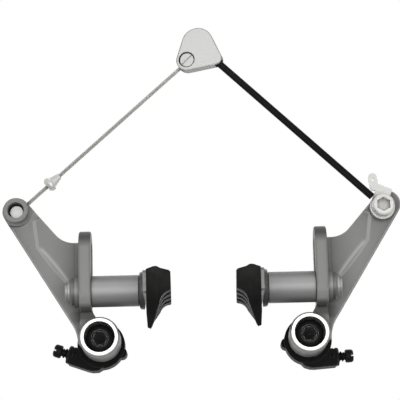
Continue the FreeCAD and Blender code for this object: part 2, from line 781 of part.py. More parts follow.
def dome_profile(rim_radius, rim, height, hole, sphere):
    """Washer with one flat face and one spherical face, as (radius, height) pairs."""
    profile = [(hole, 0), (rim_radius, 0), (rim_radius, rim)]
    steps = 5
    for i in range(1, steps + 1):
        radius = rim_radius - (rim_radius - hole - 0.8) * i / steps
        drop = math.sqrt(sphere ** 2 - radius ** 2) - math.sqrt(sphere ** 2 - rim_radius ** 2)
        profile.append((radius, min(height, rim + drop)))
    profile.append((hole, profile[-1][1]))
    return profile


def inner_dome_washer():
    profile = dome_profile(dome_washer_rim_radius, dome_washer_rim, dome_washer_height, post_hole_radius,
                           seat_sphere_radius)
    spread = dome_washer_radius - dome_washer_rim_radius
    rounded = [(dome_washer_radius, 0)]
    for angle in (0, 22, 45, 67, 90):
        a = math.radians(angle)
        rounded.append((dome_washer_rim_radius + spread * math.cos(a), dome_washer_rim * (0.3 + 0.7 * math.sin(a))))
    profile = profile[:1] + rounded + profile[3:]
    return turned(profile, Vector(plate_back_x, post_y, post_z), Vector(1, 0, 0))


def spacer():
    start = plate_back_x + dome_washer_rim + 1.5 * seat_gap
    rise = math.sqrt(seat_sphere_radius ** 2 - spacer_radius ** 2)
    rim_rise = rise - math.sqrt(seat_sphere_radius ** 2 - dome_washer_rim_radius ** 2)
    start = start + rim_rise
    tube = cylinder_x(spacer_radius, start, spacer_end_x, post_y, post_z)
    centre_x = plate_back_x + dome_washer_rim - math.sqrt(seat_sphere_radius ** 2 - dome_washer_rim_radius ** 2)
    cup = Part.makeSphere(seat_sphere_radius + seat_gap, Vector(centre_x, post_y, post_z))
    hole = cylinder_x(post_hole_radius, start - 1, spacer_end_x + 1, post_y, post_z)
    tube = tube.makeFillet(0.3, [e for e in tube.Edges if abs(e.BoundBox.XMin - spacer_end_x) < 1e-6
                                 and abs(e.BoundBox.XMax - spacer_end_x) < 1e-6])
    return tube.cut([cup, hole])


def outer_cup_washer():
    hole = post_hole_radius
    t = cup_washer_thickness
    profile = [(hole, 0), (spacer_radius, 0), (spacer_radius, t), (outer_dome_radius + 0.2, t),
               (hole, t - 0.9)]
    return turned(profile, Vector(outer_face_x, post_y, post_z), Vector(1, 0, 0))


def outer_dome_washer():
    """Its inner face is the shallow cone that sits in the cup washer."""
    hole = post_hole_radius
    base = cup_washer_thickness + seat_gap
    t = outer_dome_thickness
    profile = [(hole, base - 0.9), (outer_dome_radius, base - 0.03), (outer_dome_radius, base + t - 0.5),
               (outer_dome_radius - 0.5, base + t), (hole, base + t)]
    return turned(profile, Vector(outer_face_x, post_y, post_z), Vector(1, 0, 0))


def nut_start_x():
    return outer_face_x + cup_washer_thickness + seat_gap + outer_dome_thickness


def nut_end_x():
    return nut_start_x() + nut_flange_thickness + nut_tip_length


def shoe_nut():
    length = nut_flange_thickness + nut_tip_length
    hole = post_radius + running_gap
    floor = length - nut_socket_depth
    profile = [(hole, 0), (nut_flange_radius, 0), (nut_flange_radius, nut_flange_thickness),
               (nut_tip_radius, nut_flange_thickness + 0.3), (nut_tip_radius, length - 0.4),
               (nut_tip_radius - 0.4, length), (0, length), (0, floor), (hole, floor)]
    nut = turned(profile, Vector(nut_start_x(), post_y, post_z), Vector(1, 0, 0))
    socket = hex_prism(nut_socket_flats, length + 2, Vector(nut_start_x() - 1, post_y, post_z), Vector(1, 0, 0))
    return nut.cut(socket)


# Link wire with a nipple at each end and a bead near the arm

def wire_ends():
    start = Vector(-socket_x, wire_y, arm_end_z)
    end = Vector(link_x, link_y, link_z)
    return start, end


def link_wire():
    start, end = wire_ends()
    way = end - start
    way.normalize()
    first = start + way * (nipple_radius - 0.4)
    last = end - way * (link_barrel_radius - 0.4)
    return Part.makeCylinder(wire_radius, (last - first).Length, first, way)


def wire_bead():
    start, end = wire_ends()
    way = end - start
    way.normalize()
    bore = wire_radius + running_gap
    profile = [(bore, 0), (bead_radius - 0.9, 0), (bead_radius, 1.0), (bead_radius - 0.1, 2.1),
               (bead_radius - 0.8, 2.7), (wire_radius + 0.45, bead_length), (bore, bead_length)]
    return turned(profile, start + way * (bead_place - bead_length / 2), way)


def nipple(centre, radius, front, back):
    start, end = wire_ends()
    way = end - start
    way.normalize()
    body = cylinder_y(radius, front, back, centre.x, centre.z)
    body = body.makeFillet(0.35, edges_at_y(body, front))
    hole = Part.makeCylinder(wire_radius + running_gap, (end - start).Length, start, way)
    return body, hole, way


def socket_nipple():
    start, end = wire_ends()
    body, hole, way = nipple(start, nipple_radius, nipple_front_y, nipple_back_y)
    hole.translate(way * (nipple_radius - 0.4))
    return body.cut(hole)


# Link: two plates that close round the wire barrel and the hose end

def link_place(shape):
    shape = shape.copy()
    shape.rotate(Vector(0, 0, 0), Vector(0, 0, 1), -link_yaw)
    shape.translate(Vector(link_x, link_y, link_z))
    return shape


def link_local(x, y, z):
    """Point of the link, in its own front view, as a point of the whole brake."""
    a = math.radians(-link_yaw)
    return Vector(link_x + x * math.cos(a) - y * math.sin(a), link_y + x * math.sin(a) + y * math.cos(a),
                  link_z + z)


def link_barrel():
    front = -link_half_depth + link_barrel_recess
    back = link_half_depth - link_floor - seat_gap
    body = cylinder_y(link_barrel_radius, front, back)
    body = body.makeFillet(0.35, edges_at_y(body, front))
    start, end = wire_ends()
    slot = Part.makeBox(4 * link_barrel_radius, link_barrel_slot_depth + 1, link_barrel_slot_width,
                        Vector(-2 * link_barrel_radius, front - 1, -link_barrel_slot_width / 2))
    body = body.cut(spun(slot, math.degrees(math.atan2(end.z - start.z, end.x - start.x))))
    body = link_place(body)
    way = end - start
    way.normalize()
    hole = Part.makeCylinder(wire_radius + running_gap, link_barrel_radius + 2, end, way * -1)
    hole.translate(way * -(link_barrel_radius - 0.4))
    return body.cut(hole)


def link_cuts():
    """Everything taken out of the pair of plates, in the link's own front view."""
    hole = cylinder_y(link_hole_radius, -link_half_depth - 1, link_half_depth - link_floor)
    start, end = wire_ends()
    wire_angle = math.degrees(math.atan2(start.z - end.z, start.x - end.x))
    half = wire_radius + free_gap + wire_way_lean
    wire_way = swing_way(12, wire_angle - link_swing, wire_angle + link_swing, half, 0, 0)
    hose_angle = hose_heading()
    wide = hose_radius + free_gap
    hose_way = swing_way(8, hose_angle - hose_swing, hose_angle + hose_swing, wide, hose_pivot_x, hose_pivot_z)
    hose_seat = swing_way(hose_inside + free_gap, hose_angle + 180 - hose_swing, hose_angle + 180 + hose_swing,
                          wide, hose_pivot_x, hose_pivot_z)
    run = Vector(hose_pivot_x - cable_way_top_x, 0, hose_pivot_z - link_top_z - link_top_radius - 1)
    cable_way = Part.makeCylinder(cable_way_radius, run.Length,
                                  Vector(cable_way_top_x, 0, link_top_z + link_top_radius + 1), run)
    return [hole, wire_way, hose_way, hose_seat, cable_way]


def link_plates():
    circles = [(0.0, 0.0, link_barrel_corner_radius), (link_hose_corner_x, 0.0, link_hose_corner_radius),
               (link_top_x, link_top_z, link_top_radius)]
    seam_y = link_front_thickness - link_half_depth
    plates = []
    for outer_y in (-link_half_depth, link_half_depth):
        outline = Part.Face(Part.Wire(circle_hull(circles, seam_y)))
        plate = outline.extrude(Vector(0, outer_y - seam_y, 0))
        plate = plate.makeFillet(link_edge_round, edges_at_y(plate, outer_y))
        plate = plate.makeChamfer(link_seam, edges_at_y(plate, seam_y))
        plates.append(link_place(plate.cut(link_cuts())))
    return plates


# Guide hose from the link to the right arm's cable anchor

def hose_ends():
    start = link_local(hose_pivot_x, 0, hose_pivot_z)
    bolt = Vector(pivot_x + anchor_x, hose_end_y, anchor_z)
    way = bolt - start
    way.normalize()
    return start, bolt - way * hose_front_gap


def hose_heading():
    start, end = hose_ends()
    return math.degrees(math.atan2(end.z - start.z, end.x - start.x))


def guide_hose():
    start, end = hose_ends()
    way = end - start
    length = way.Length + hose_inside
    way.normalize()
    start = start - way * hose_inside
    tube = Part.makeCylinder(hose_radius, length, start, way)
    return tube.cut(Part.makeCylinder(hose_bore_radius, length, start, way))


# Cable anchor: bolt, washer and keeper plate on the right arm

def anchor_point(y):
    return Vector(pivot_x + anchor_x, y, anchor_z)


def keeper_front_y():
    return blade_front_y - anchor_pad_height - keeper_thickness


def keeper_plate():
    """Plate under the washer; its tab carries an ear that guides the hose."""
    back = blade_front_y - anchor_pad_height
    front = keeper_front_y()
    x = pivot_x + anchor_x
    side_z = anchor_z + keeper_tab_shift + keeper_tab_width / 2
    tip_x = x + keeper_tab_reach
    tab = Part.makeBox(keeper_tab_reach, keeper_thickness, keeper_tab_width, Vector(x, front, side_z - keeper_tab_width))
    ear = keeper_ear(front, back, tip_x, side_z)
    tab = spun(tab.fuse(ear), keeper_tab_angle, x, anchor_z)
    base = cylinder_y(keeper_radius, front, back, x, anchor_z)
    hole = cylinder_y(anchor_shank_radius + post_hole_gap, front - 1, back + 1, x, anchor_z)
    return base.fuse(tab).removeSplitter().cut(hole)


def keeper_ear(front, back, tip_x, side_z):
    """Long round-ended ear that leans away from the tab beside its tip."""
    radius = keeper_ear_width / 2
    reach = keeper_ear_length / 2 - radius
    ends = [cylinder_y(radius, front, back, way * reach, 0.0) for way in (-1, 1)]
    middle = Part.makeBox(2 * reach, keeper_thickness, keeper_ear_width, Vector(-reach, front, -radius))
    ear = middle.fuse(ends).removeSplitter().cut(cylinder_y(keeper_ear_hole_radius, front - 1, back + 1, reach / 2, 0.0))
    ear = spun(ear, keeper_ear_lean)
    ear.translate(Vector(tip_x, 0, side_z + keeper_ear_out))
    return ear


def anchor_washer():
    front = keeper_front_y() - washer_thickness
    body = cylinder_y(washer_radius, front, keeper_front_y(), pivot_x + anchor_x, anchor_z)
    body = body.makeFillet(0.4, edges_at_y(body, front))
    hole = cylinder_y(anchor_shank_radius + post_hole_gap, front - 1, keeper_front_y() + 1,
                      pivot_x + anchor_x, anchor_z)
    return body.cut(hole)


def anchor_bolt():
    seat_y = keeper_front_y() - washer_thickness
    shank = anchor_shank_end_y - seat_y
    h = anchor_head_height
    r = anchor_head_radius
    profile = [(0, shank), (anchor_shank_radius - 0.5, shank), (anchor_shank_radius, shank - 0.5),
               (anchor_shank_radius, 0), (r, 0), (r, -h + 0.5), (r - 0.5, -h), (0, -h)]
    bolt = turned(profile, anchor_point(seat_y), Vector(0, 1, 0))
    socket = hex_prism(anchor_socket_flats, anchor_socket_depth, anchor_point(seat_y - h), Vector(0, 1, 0), 90)
    return bolt.cut(socket)


def model():
    nodes = {}
    for side in ("left", "right"):
        nodes[side + "_arm"] = sided(arm(side), side)
        nodes[side + "_pivot_bush"] = sided(pivot_bush(), side)
        nodes[side + "_fixing_bolt"] = sided(fixing_bolt(), side)
        nodes[side + "_spring_cover"] = sided(spring_cover(side), side)
        nodes[side + "_return_spring"] = sided(return_spring(), side)
        nodes[side + "_tension_screw"] = sided(tension_screw(side), side)
        nodes[side + "_shoe_rubber"] = sided(shoe_rubber(), side)
        nodes[side + "_shoe_stud"] = sided(shoe_stud(), side)
        nodes[side + "_inner_dome_washer"] = sided(inner_dome_washer(), side)
        nodes[side + "_spacer"] = sided(spacer(), side)
        nodes[side + "_outer_cup_washer"] = sided(outer_cup_washer(), side)
        nodes[side + "_outer_dome_washer"] = sided(outer_dome_washer(), side)
        nodes[side + "_shoe_nut"] = sided(shoe_nut(), side)
    nodes["link_wire"] = link_wire()
    nodes["wire_bead"] = wire_bead()
    nodes["socket_nipple"] = socket_nipple()
    nodes["link_barrel"] = link_barrel()
    nodes["link_front_plate"], nodes["link_rear_plate"] = link_plates()
    nodes["guide_hose"] = guide_hose()
    nodes["keeper_plate"] = keeper_plate()
    nodes["anchor_washer"] = anchor_washer()
    nodes["anchor_bolt"] = anchor_bolt()
    return nodes


os.makedirs("parts", exist_ok=True)
for name, shape in model().items():
    shape.exportStep("parts/" + name + ".step")
    box = shape.BoundBox
    print("%-24s solids %d valid %s volume %9.2f  x %7.2f %7.2f  y %7.2f %7.2f  z %7.2f %7.2f" % (
        name, len(shape.Solids), shape.isValid(), shape.Volume,
        box.XMin, box.XMax, box.YMin, box.YMax, box.ZMin, box.ZMax))
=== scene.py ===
import json
import math

import bmesh
import bpy
from mathutils import Matrix, Vector


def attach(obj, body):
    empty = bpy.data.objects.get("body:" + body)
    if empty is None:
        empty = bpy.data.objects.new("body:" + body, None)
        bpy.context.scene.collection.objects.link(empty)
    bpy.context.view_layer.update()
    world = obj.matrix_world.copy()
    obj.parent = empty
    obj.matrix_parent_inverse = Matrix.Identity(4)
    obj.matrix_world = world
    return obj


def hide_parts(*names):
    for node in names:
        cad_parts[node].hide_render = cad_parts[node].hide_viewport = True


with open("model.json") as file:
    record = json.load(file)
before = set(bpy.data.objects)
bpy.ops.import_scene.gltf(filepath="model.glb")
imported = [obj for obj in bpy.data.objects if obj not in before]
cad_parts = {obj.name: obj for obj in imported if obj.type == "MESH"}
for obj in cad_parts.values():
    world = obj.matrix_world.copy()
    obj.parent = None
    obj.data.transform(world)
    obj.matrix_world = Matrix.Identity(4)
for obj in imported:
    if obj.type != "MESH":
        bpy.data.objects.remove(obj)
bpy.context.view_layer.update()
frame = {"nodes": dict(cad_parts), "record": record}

# Metres in a millimetre, and radians in a full turn
MM = 0.001
FULL_TURN = 2 * math.pi

# Stud axes stand this far left and right of the middle, in millimetres
PIVOT_X = 40.0

# Slope of each tension screw against the level, in degrees
SCREW_SLOPE = {"right": 3.0, "left": 18.5}


# Camera: below the brake and looking up at it, rolled a little clockwise

CAMERA_TILT = math.radians(13.0)
CAMERA_ROLL = math.radians(1.35)
CAMERA_AIM = Vector((0, -22.5, 0)) * MM
CAMERA_BACK = 0.650
CAMERA_LEFT = 0.0018
CAMERA_RISE = 0.0508
CAMERA_LENS = 154.44
SENSOR_WIDTH = 36.0
NEAREST_SEEN = 0.01
FARTHEST_SEEN = 20.0


def make_camera():
    forward = Vector((0, math.cos(CAMERA_TILT), math.sin(CAMERA_TILT)))
    level = Vector((1, 0, 0))
    rise = level.cross(forward)
    right = level * math.cos(CAMERA_ROLL) - rise * math.sin(CAMERA_ROLL)
    up = rise * math.cos(CAMERA_ROLL) + level * math.sin(CAMERA_ROLL)
    place = CAMERA_AIM - forward * CAMERA_BACK - right * CAMERA_LEFT + up * CAMERA_RISE
    data = bpy.data.cameras.new("camera")
    data.sensor_width = SENSOR_WIDTH
    data.lens = CAMERA_LENS
    data.clip_start = NEAREST_SEEN
    data.clip_end = FARTHEST_SEEN
    camera = bpy.data.objects.new("camera", data)
    bpy.context.scene.collection.objects.link(camera)
    axes = Matrix((right, up, -forward)).transposed().to_4x4()
    camera.matrix_world = Matrix.Translation(place) @ axes
    bpy.context.scene.camera = camera


# Node helpers

class Graph:
    """The nodes of a material or of the surroundings, with short names for the ones used here."""

    def __init__(self, owner):
        owner.use_nodes = True
        self.tree = owner.node_tree
        self.shader = self.tree.nodes.get("Principled BSDF")

    def node(self, kind, **values):
        made = self.tree.nodes.new(kind)
        for key, value in values.items():
            setattr(made, key, value)
        return made

    def join(self, source, target):
        self.tree.links.new(source, target)

    def put(self, socket, value):
        if isinstance(value, bpy.types.NodeSocket):
            self.join(value, socket)
        else:
            socket.default_value = value

    def set(self, socket, value):
        if isinstance(value, tuple):
            value = (*value, 1.0)
        self.put(self.shader.inputs[socket], value)

    def place(self):
        return self.node("ShaderNodeTexCoord").outputs["Object"]

    def normal(self, kind="Normal"):
        return self.node("ShaderNodeNewGeometry").outputs[kind]

    def split(self, vector):
        made = self.node("ShaderNodeSeparateXYZ")
        self.join(vector, made.inputs[0])
        return made.outputs["X"], made.outputs["Y"], made.outputs["Z"]

    def math(self, operation, a, b=0.0):
        made = self.node("ShaderNodeMath", operation=operation)
        self.put(made.inputs[0], a)
        self.put(made.inputs[1], b)
        return made.outputs[0]

    def add(self, a, b):
        return self.math("ADD", a, b)

    def less(self, a, b):
        return self.math("SUBTRACT", a, b)

    def product(self, value, *factors):
        for factor in factors:
            value = self.math("MULTIPLY", value, factor)
        return value

    def dot(self, a, b):
        made = self.node("ShaderNodeVectorMath", operation="DOT_PRODUCT")
        self.put(made.inputs[0], a)
        self.put(made.inputs[1], b)
        return made.outputs["Value"]

    def span(self, value, low, high, to_low, to_high):
        made = self.node("ShaderNodeMapRange")
        for key, number in (("Value", value), ("From Min", low), ("From Max", high),
                            ("To Min", to_low), ("To Max", to_high)):
            self.put(made.inputs[key], number)
        return made.outputs["Result"]

    def ramp(self, value, zero_at, full_at, full=1.0):
        """0 up to one value, rising to full at the other, in whichever direction that lies."""
        return self.span(value, zero_at, full_at, 0.0, full)

    def ramp_mm(self, value, zero_at, full_at, full=1.0):
        """The same for a length, with its two ends in millimetres."""
        return self.ramp(value, zero_at * MM, full_at * MM, full)

    def between_mm(self, value, low, high, soft):
        """1 between two lengths and 0 outside them, with soft borders of the given half width."""
        return self.product(self.ramp_mm(value, low - soft, low + soft),
                            self.ramp_mm(value, high + soft, high - soft))

    def noise(self, scale, detail=3.0):
        made = self.node("ShaderNodeTexNoise")
        self.join(self.place(), made.inputs["Vector"])
        made.inputs["Scale"].default_value = scale
        made.inputs["Detail"].default_value = detail
        made.inputs["Roughness"].default_value = 0.55
        return made.outputs["Fac"]

    def patches(self, scale, detail, low, high):
        """A number that wanders between two values in patches."""
        return self.span(self.noise(scale, detail), 0.3, 0.7, low, high)

    def mix(self, amount, a, b):
        made = self.node("ShaderNodeMix", data_type="RGBA")
        self.put(made.inputs["Factor"], amount)
        for socket, colour in ((made.inputs[6], a), (made.inputs[7], b)):
            self.put(socket, colour if isinstance(colour, bpy.types.NodeSocket) else (*colour, 1.0))
        return made.outputs[2]

    def layers(self, base, coats):
        for amount, colour in coats:
            base = self.mix(amount, base, colour)
        return base

    def bump(self, height, strength, distance, normal=None):
        made = self.node("ShaderNodeBump")
        self.put(made.inputs["Height"], height)
        made.inputs["Strength"].default_value = strength
        made.inputs["Distance"].default_value = distance
        if normal is not None:
            self.join(normal, made.inputs["Normal"])
        return made.outputs["Normal"]

    def cavity(self, distance):
        """1 on open ground, falling to 0 in deep corners."""
        made = self.node("ShaderNodeAmbientOcclusion", samples=6)
        made.inputs["Distance"].default_value = distance
        return made.outputs["AO"]

    def edges(self, width):
        """0 on flat ground, rising to 1 along edges."""
        bevel = self.node("ShaderNodeBevel", samples=4)
        bevel.inputs["Radius"].default_value = width
        return self.ramp(self.dot(bevel.outputs[0], self.normal()), 0.98, 0.80)

    def seen_directly(self):
        """1 for what the camera, shiny and clear surfaces see, 0 for what lights the pieces softly."""
        path = self.node("ShaderNodeLightPath")
        seen = path.outputs["Is Camera Ray"]
        for ray in ("Is Glossy Ray", "Is Transmission Ray"):
            seen = self.math("MAXIMUM", seen, path.outputs[ray])
        return seen


materials = {}


def new_finish(name):
    materials[name] = bpy.data.materials.new(name)
    return Graph(materials[name])


def tint(colour, factor):
    return tuple(min(1.0, c * factor) for c in colour)


# Finishes

def metal(name, colour, roughness, metallic=0.30, grain_depth=0.00002, mottle=0.06, edge_wear_and_highlight=0.0,
          edge_wear_and_highlight_colour=(0.8, 0.8, 0.8), specular=0.5, hollow=0.0022, edge=0.0004, painted_shade_tone=None):
    """Cast or plated metal: cloudy and fine-grained, with painted shade in hollows and, where a shade tone
    is given, on faces turned up or aside from the front; edges are lighter, partly from wear and partly
    from a painted highlight.
    """
    g = new_finish(name)
    base = g.mix(g.noise(90, 4), tint(colour, 1 - mottle), tint(colour, 1 + mottle))
    # Lighter edges: partly wear, partly a painted highlight.
    if edge_wear_and_highlight:
        rub_and_highlight = g.product(g.edges(edge), g.span(g.noise(900, 5), 0.35, 0.6, 0.3 * edge_wear_and_highlight, edge_wear_and_highlight))
        base = g.mix(rub_and_highlight, base, edge_wear_and_highlight_colour)
    # Painted shade: faces turned up or aside from the front are darkened towards the shade tone.
    if painted_shade_tone:
        facing_y, facing_z = g.split(g.normal())[1:]
        rolled_shade = g.product(g.ramp(facing_y, -0.97, -0.55, 0.85), g.ramp(facing_z, -0.45, -0.05))
        base = g.mix(rolled_shade, base, tint(colour, painted_shade_tone))
    # Painted shade: darker in hollows and corners.
    g.set("Base Color", g.mix(g.ramp(g.cavity(hollow), 0.85, 0.25, 0.85), base, tint(colour, 0.10)))
    g.set("Metallic", metallic)
    g.set("Specular IOR Level", specular)
    g.set("Roughness", g.patches(400, 4, roughness - 0.05, roughness + 0.06))
    g.set("Normal", g.bump(g.noise(2600), 0.35, grain_depth))


def turned_metal(name, colour, roughness, axis):
    """Lathe-finished metal with fine lines along one axis, darker where it rolls away from the light."""
    g = new_finish(name)
    along = dict(zip("XYZ", g.split(g.place())))[axis]
    base = g.mix(g.noise(150, 4), tint(colour, 0.95), tint(colour, 1.05))
    facing_z = g.split(g.normal())[2]
    # Painted shade: darker where the surface faces well up or down, and in hollows.
    rolled_shade = g.math("MAXIMUM", g.ramp(facing_z, 0.35, 0.95, 0.85), g.ramp(facing_z, 0.05, -0.85, 0.80))
    g.set("Base Color", g.layers(base, [(rolled_shade, tint(colour, 0.20)),
                                        (g.ramp(g.cavity(0.0018), 0.85, 0.25, 0.8), tint(colour, 0.15))]))
    g.set("Metallic", 0.15)
    g.set("Specular IOR Level", 0.20)
    g.set("Roughness", g.patches(500, 4, roughness - 0.04, roughness + 0.06))
    lines_per_metre = 30000.0
    wobble = g.product(g.noise(900), 3.0)
    lathe = g.math("SINE", g.add(g.product(along, lines_per_metre), wobble))
    g.set("Normal", g.bump(g.add(g.product(lathe, 0.5), g.noise(3200, 2)), 0.3, 0.00001))


def rubber_material():
    """Pad rubber with a painted highlight in patches towards the top, and painted highlights along the
    creases.
    """
    g = new_finish("pad_rubber")
    z = g.split(g.place())[2]
    base = g.mix(g.ramp(g.noise(260, 5), 0.35, 0.7), (0.005, 0.005, 0.005), (0.012, 0.012, 0.0115))
    # Painted highlight: lighter in patches towards the top.
    top_highlight = g.product(g.ramp_mm(z, 10.0, 22.0), g.span(g.noise(180), 0.35, 0.65, 0.4, 1.0))
    # Painted highlight along the creases and edges.
    crease_highlights = g.product(g.edges(0.0006), g.span(g.noise(300, 4), 0.35, 0.65, 0.4, 1.0))
    g.set("Base Color", g.layers(base, [(top_highlight, (0.040, 0.040, 0.039)),
                                        (crease_highlights, (0.085, 0.085, 0.083))]))
    g.set("Roughness", g.patches(500, 4, 0.42, 0.60))
    g.set("Specular IOR Level", 0.06)
    fine = g.bump(g.noise(4200), 0.35, 0.00003)
    g.set("Normal", g.bump(g.noise(500), 0.25, 0.00008, fine))


def resin_material(name, colour, roughness, grain=3800, rim=0.9):
    """Moulded black resin, with a painted highlight along its edges as strong as rim says."""
    g = new_finish(name)
    base = g.mix(g.noise(200, 4), tint(colour, 0.8), tint(colour, 1.35))
    # Painted highlight along the edges.
    g.set("Base Color", g.mix(g.product(g.edges(0.0005), rim), base, (0.15, 0.15, 0.15)))
    g.set("Roughness", g.patches(700, 4, roughness - 0.06, roughness + 0.08))
    g.set("Specular IOR Level", 0.05)
    g.set("Normal", g.bump(g.noise(grain), 0.4, 0.00003))


# Places on an arm, in millimetres. Out is the distance past the stud axis, away from the middle.
# Radii are about the stud axis: the bright ring's outer edge, and just outside the barrel.
RING_RADIUS = 7.25
PAST_BARREL = 8.05
TURNED_FROM_Y = -15.25
BARREL_SIDE_Y = (-16.5, -18.0)
BLADE_FACE_Y = -12.7
BLADE_STEP_Y = (-12.34, -11.36)
FLANGE_OUT = (2.7, 7.5)
FLANGE_MIDDLE = 5.1
FLANGE_TOP_Z = (34.0, 37.5)
LOW_NECK_FOOT = (6.0, 7.8)
LOW_NECK_HEAD = (12.5, 11.0)
LOW_NECK_OUT = (12.5, 8.5)

# The painted highlight line on the blade, down from its upper end: place, direction, length, bow and width
LINE_TOP = (23.6, 36.8)
LINE_WAY = (-0.6206, -0.7839)
LINE_LENGTH = 18.4
LINE_BOW = 1.6
LINE_ASIDE = 0.3
LINE_WIDTH = 0.7

# The blade's outer edge: a point on it and the direction out of the blade, both as out and z
EDGE_POINT = (11.7, 7.6)
EDGE_WAY = (0.903, -0.429)


class Arm:
    """Where a point of the arm's surface lies, as nodes."""

    def __init__(self, g):
        self.g = g
        x, self.y, self.z = g.split(g.place())
        self.out = g.less(g.math("ABSOLUTE", x), PIVOT_X * MM)
        self.radius = g.math("SQRT", g.add(g.product(self.out, self.out), g.product(self.z, self.z)))
        self.off_barrel = g.ramp_mm(self.radius, PAST_BARREL - 0.15, PAST_BARREL + 0.15)
        self.on_face = g.ramp_mm(self.y, BLADE_FACE_Y - 0.1, BLADE_FACE_Y + 0.1)

    def turned(self):
        """The barrel's front ring and recess."""
        g = self.g
        return g.product(g.ramp_mm(self.radius, RING_RADIUS + 0.1, RING_RADIUS - 0.1),
                         g.ramp_mm(self.y, TURNED_FROM_Y + 0.05, TURNED_FROM_Y - 0.05))

    def ridge(self):
        """The sloping border of the blade's sunk panel."""
        g = self.g
        facing_y = g.split(g.normal("True Normal"))[1]
        leaning = g.product(g.ramp(facing_y, -0.97, -0.94), g.ramp(facing_y, -0.60, -0.70))
        return g.product(leaning, g.between_mm(self.y, *BLADE_STEP_Y, 0.04))

    # Where a painted highlight lightens the barrel's side.
    def barrel_side(self):
        g = self.g
        outside = g.product(g.ramp_mm(self.radius, 7.0, 7.4),
                            g.ramp_mm(self.radius, PAST_BARREL + 0.15, PAST_BARREL - 0.15))
        return g.product(outside, g.ramp_mm(self.y, *BARREL_SIDE_Y))

    # Where painted shade darkens the low neck between flange and barrel.
    def low_neck(self):
        g = self.g
        return g.product(g.ramp_mm(self.z, *LOW_NECK_HEAD), g.ramp_mm(self.z, *LOW_NECK_FOOT),
                         self.off_barrel, g.ramp_mm(self.out, *LOW_NECK_OUT))

    # Where painted shade darkens the flange's top.
    def flange_top(self):
        g = self.g
        return g.product(g.between_mm(self.out, *FLANGE_OUT, 0.1), g.ramp_mm(self.z, *FLANGE_TOP_Z))

    def painted_highlight_line(self):
        """A soft painted highlight line, a little bowed, that continues the panel's border over the blade.
        """
        g = self.g
        line_out = g.less(self.out, LINE_TOP[0] * MM)
        line_z = g.less(self.z, LINE_TOP[1] * MM)
        along = g.add(g.product(line_out, LINE_WAY[0]), g.product(line_z, LINE_WAY[1]))
        aside = g.add(g.product(line_out, -LINE_WAY[1]), g.product(line_z, LINE_WAY[0]))
        share = g.math("DIVIDE", along, LINE_LENGTH * MM)
        bow = g.product(share, g.less(1.0, share), LINE_BOW * MM)
        aside = g.math("DIVIDE", g.add(g.add(aside, bow), LINE_ASIDE * MM), LINE_WIDTH * MM)
        glow = g.math("EXPONENT", g.product(aside, aside, -1.0))
        return g.product(glow, g.ramp_mm(along, -1.0, 1.0), g.ramp_mm(along, 19.0, 16.5), self.on_face)

    def relief(self):
        """Height of the blade's rounding towards its outer edge, and of the flange's round front."""
        g = self.g
        across = g.add(g.product(g.less(self.out, EDGE_POINT[0] * MM), EDGE_WAY[0]),
                       g.product(g.less(self.z, EDGE_POINT[1] * MM), EDGE_WAY[1]))
        crown = g.product(g.math("EXPONENT", g.math("DIVIDE", across, 0.0030)), -0.00045)
        on_blade = g.product(self.on_face, g.ramp_mm(self.radius, 9.0, 12.0))
        off_middle = g.less(self.out, FLANGE_MIDDLE * MM)
        on_flange = g.product(g.ramp_mm(self.y, -27.2, -27.6), g.ramp_mm(self.radius, 8.5, 10.0))
        rounding = g.product(off_middle, off_middle, -62.0)
        return g.add(g.product(crown, on_blade), g.product(rounding, on_flange))


def arm_material():
    """Satin gray finish with painted shade in recesses, on the flange's top and at the low neck, and
    painted highlights on the barrel's side, the panel's border and a line on the blade; the barrel's front
    ring and recess are left bright from the lathe.
    """
    g = new_finish("arm_metal")
    arm = Arm(g)
    turned = arm.turned()
    ridge = arm.ridge()
    speck = g.noise(5200, 2)
    rubbed = g.product(g.edges(0.00030), g.ramp(g.noise(700, 5), 0.45, 0.65, 0.25))
    paint = g.mix(g.noise(70, 4), (0.345, 0.345, 0.340), (0.395, 0.395, 0.388))
    paint = g.layers(paint, [
        (g.ramp(speck, 0.35, 0.7, 0.5), (0.49, 0.49, 0.482)),
        (rubbed, (0.62, 0.62, 0.61)),
        # Painted highlight: the barrel's side made lighter.
        (arm.barrel_side(), (0.52, 0.52, 0.51)),
        # Painted shade on the low neck, below the flange.
        (g.product(arm.low_neck(), 0.80), (0.07, 0.07, 0.069)),
        # Painted shade on the flange's top.
        (g.product(arm.flange_top(), 0.75), (0.07, 0.07, 0.069)),
        # Painted shade in recesses and corners.
        (g.ramp(g.cavity(0.0120), 0.95, 0.30, 0.70), (0.10, 0.10, 0.098)),
        (g.ramp(g.cavity(0.0026), 0.75, 0.25, 0.80), (0.05, 0.05, 0.049)),
        # Painted highlight on the panel's sloping border.
        (g.product(ridge, 0.75), (0.60, 0.60, 0.59)),
        # Painted highlight line over the blade.
        (g.product(arm.painted_highlight_line(), 0.85), (0.68, 0.68, 0.67)),
    ])
    bright = g.mix(g.noise(600), (0.66, 0.655, 0.645), (0.80, 0.795, 0.785))
    g.set("Base Color", g.mix(turned, paint, bright))
    g.set("Metallic", g.span(turned, 0, 1, 0.08, 0.80))
    g.set("Specular IOR Level", 0.15)
    g.set("Roughness", g.span(turned, 0, 1, g.patches(350, 4, 0.40, 0.50), 0.24))

    lines_per_metre = 42000.0
    rings = g.math("SINE", g.product(g.add(arm.radius, g.product(arm.y, 0.5)), lines_per_metre))
    lathe = g.product(rings, turned, 0.35)
    fine = g.bump(g.add(speck, lathe), 0.4, 0.000018, g.bump(arm.relief(), 1.0, 1.0))
    flatter = g.node("ShaderNodeMix", data_type="VECTOR")
    g.put(flatter.inputs[0], g.product(ridge, 0.95))
    g.join(fine, flatter.inputs[4])
    flatter.inputs[5].default_value = (0.0, -1.0, 0.0)
    level = g.node("ShaderNodeVectorMath", operation="NORMALIZE")
    g.join(flatter.outputs[1], level.inputs[0])
    g.set("Normal", level.outputs[0])


